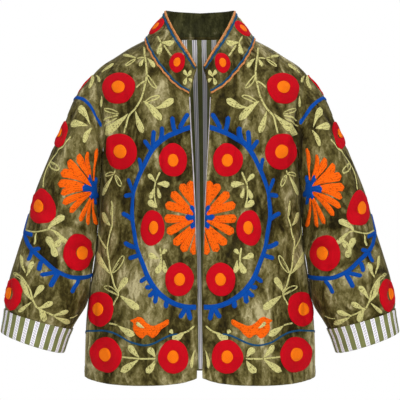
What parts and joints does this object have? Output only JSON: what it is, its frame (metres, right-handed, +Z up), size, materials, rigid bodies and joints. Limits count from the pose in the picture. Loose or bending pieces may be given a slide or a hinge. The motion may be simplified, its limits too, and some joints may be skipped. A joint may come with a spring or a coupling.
{
  "type": "embroidered velvet jacket",
  "caption": "Open-fronted olive velvet jacket with a stand collar, turned-back striped cuffs and bold floral chain-stitch embroidery, filled out as if worn.",
  "frame": {"origin": "the middle of the neck at the height of the side neck points, where the wearer's neck and shoulders hold the jacket", "axes": "+Z up, -Y the way the open front faces, +X the jacket's own left, so the right of a front view"},
  "size_m": [0.7222, 0.2898, 0.678],
  "materials": {
    "velvet": "crushed olive velvet with thick embroidery",
    "striped_lining": "matt striped cotton"
  },
  "bodies": {
    "root": {"front_left": "velvet", "front_right": "velvet", "back": "velvet", "sleeve_left": "velvet", "sleeve_right": "velvet", "collar": "velvet", "cuff_left": "striped_lining", "cuff_right": "striped_lining", "back_lining": "striped_lining"}
  },
  "joints": []
}
